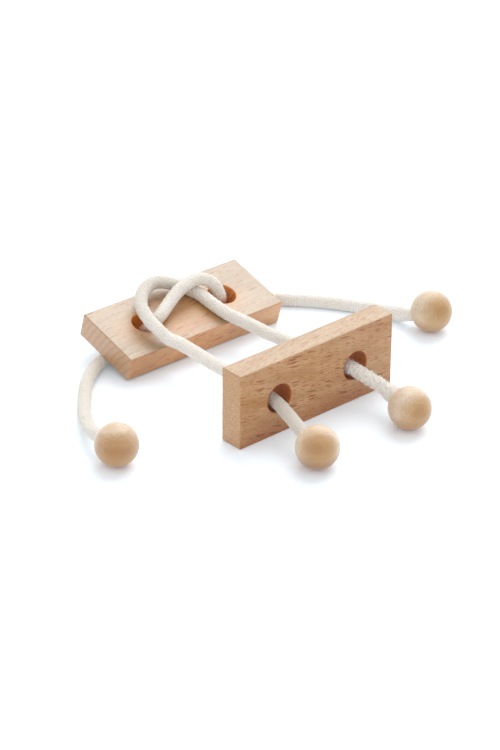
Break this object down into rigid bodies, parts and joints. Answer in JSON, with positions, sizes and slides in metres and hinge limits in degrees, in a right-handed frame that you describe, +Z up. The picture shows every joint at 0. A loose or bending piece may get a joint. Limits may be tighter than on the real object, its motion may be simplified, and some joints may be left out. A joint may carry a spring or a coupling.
{
  "type": "rope and ball disentanglement puzzle",
  "caption": "Disentanglement puzzle: drilled wooden blocks on cotton ropes whose loops hook each other, with each rope end glued into a wooden ball too large for the holes.",
  "frame": {"origin": "on the floor, under the middle of the bounding box of the wooden pieces", "axes": "+X along the front block, towards the right-hand balls; +Y from the front block to the rear block; +Z up"},
  "size_m": [0.2298, 0.1732, 0.04],
  "materials": {
    "beech": "sanded, oiled lightly, satin",
    "pale_wood": "turned and sanded, satin",
    "cotton_rope": "braided, undyed, slightly fuzzy",
    "glue": "dried adhesive"
  },
  "bodies": {
    "rear_block_and_ropes": {"rear_block": "beech", "front_rope": "cotton_rope", "rear_rope": "cotton_rope"},
    "front_block": {"front_block": "beech"},
    "front_left_ball": {"front_left_ball": "pale_wood", "front_left_glue": "glue"},
    "front_right_ball": {"front_right_ball": "pale_wood", "front_right_glue": "glue"},
    "rear_left_ball": {"rear_left_ball": "pale_wood", "rear_left_glue": "glue"},
    "rear_right_ball": {"rear_right_ball": "pale_wood", "rear_right_glue": "glue"}
  },
  "joints": [
    {"name": "front_block_slide", "type": "slide", "parent": "rear_block_and_ropes", "child": "front_block", "axis": [-0.0748, 0.9972, 0], "range_m": [0, 0.03]},
    {"name": "front_left_ball_swing", "type": "hinge", "parent": "rear_block_and_ropes", "child": "front_left_ball", "pos_m": [-0.0265, -0.038, 0.0163], "axis": [0, 0, 1], "range_deg": [-40, 25], "deforming": ["front_rope"]},
    {"name": "front_right_ball_swing", "type": "hinge", "parent": "rear_block_and_ropes", "child": "front_right_ball", "pos_m": [0.0236, -0.038, 0.0171], "axis": [0, 0, 1], "range_deg": [-25, 40], "deforming": ["front_rope"]},
    {"name": "rear_left_ball_swing", "type": "hinge", "parent": "rear_block_and_ropes", "child": "rear_left_ball", "pos_m": [-0.061, 0.063, 0.0031], "axis": [0, 0, 1], "range_deg": [-25, 20], "deforming": ["rear_rope"]},
    {"name": "rear_right_ball_swing", "type": "hinge", "parent": "rear_block_and_ropes", "child": "rear_right_ball", "pos_m": [0.0585, 0.0648, 0.0031], "axis": [0, 0, 1], "range_deg": [-20, 25], "deforming": ["rear_rope"]}
  ]
}
